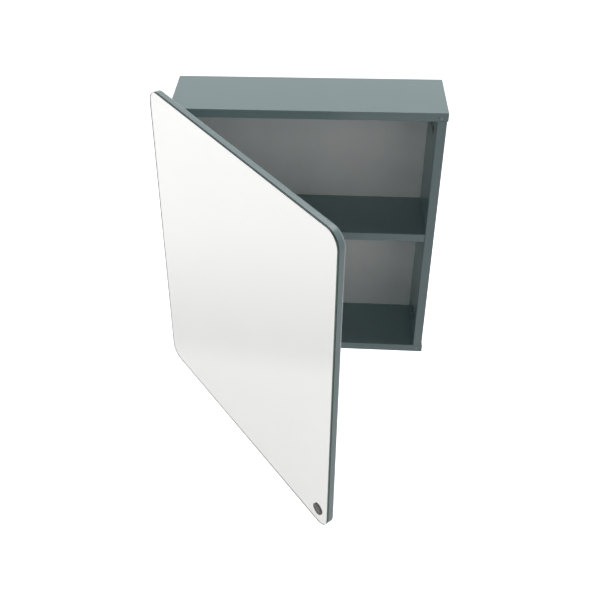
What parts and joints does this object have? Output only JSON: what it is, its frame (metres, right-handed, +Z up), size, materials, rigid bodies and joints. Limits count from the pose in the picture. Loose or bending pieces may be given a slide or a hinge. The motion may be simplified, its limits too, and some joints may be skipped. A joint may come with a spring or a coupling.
{
  "type": "mirror cabinet",
  "caption": "Wall-hung bathroom cabinet with an inner shelf and a left-hinged mirror door with rounded corners that overhangs the carcass on all sides.",
  "frame": {"origin": "middle of the carcass's rear face, on the wall", "axes": "+X to the right seen from the front, +Y into the wall, +Z up"},
  "size_m": [0.5824, 0.6157, 0.6995],
  "materials": {
    "lacquered_board": "matt grey-green lacquer on fibre board",
    "back_sheet": "white foil on thin fibre board",
    "zinc": "dark die-cast zinc",
    "steel": "zinc-plated steel",
    "hinge_steel": "nickel-plated steel",
    "beech": "fluted beech",
    "clear_pad": "clear soft polyurethane",
    "foam_tape": "closed-cell mounting tape",
    "mirror": "silvered float glass with ground edges",
    "disc_metal": "dark brushed metal"
  },
  "bodies": {
    "carcass": {"top_panel": "lacquered_board", "bottom_panel": "lacquered_board", "left_side_panel": "lacquered_board", "right_side_panel": "lacquered_board", "shelf": "lacquered_board", "hanging_rail": "lacquered_board", "back_panel": "back_sheet", "cam_locks": "zinc", "cam_bolts": "steel", "wood_dowels": "beech", "shelf_pins": "steel", "back_panel_screws": "steel", "upper_bumper": "clear_pad", "lower_bumper": "clear_pad", "upper_hinge_side_leaf": "hinge_steel", "lower_hinge_side_leaf": "hinge_steel", "upper_hinge_pin": "hinge_steel", "lower_hinge_pin": "hinge_steel", "hinge_side_screws": "steel"},
    "door": {"door_panel": "lacquered_board", "mirror_tape": "foam_tape", "mirror_glass": "mirror", "corner_disc": "disc_metal", "upper_hinge_door_leaf": "hinge_steel", "lower_hinge_door_leaf": "hinge_steel", "hinge_door_screws": "steel"}
  },
  "joints": [
    {"name": "door_swing", "type": "hinge", "parent": "carcass", "child": "door", "pos_m": [-0.2795, -0.14535, 0], "axis": [0, 0, -1], "range_deg": [-52.2, 57.8]}
  ]
}
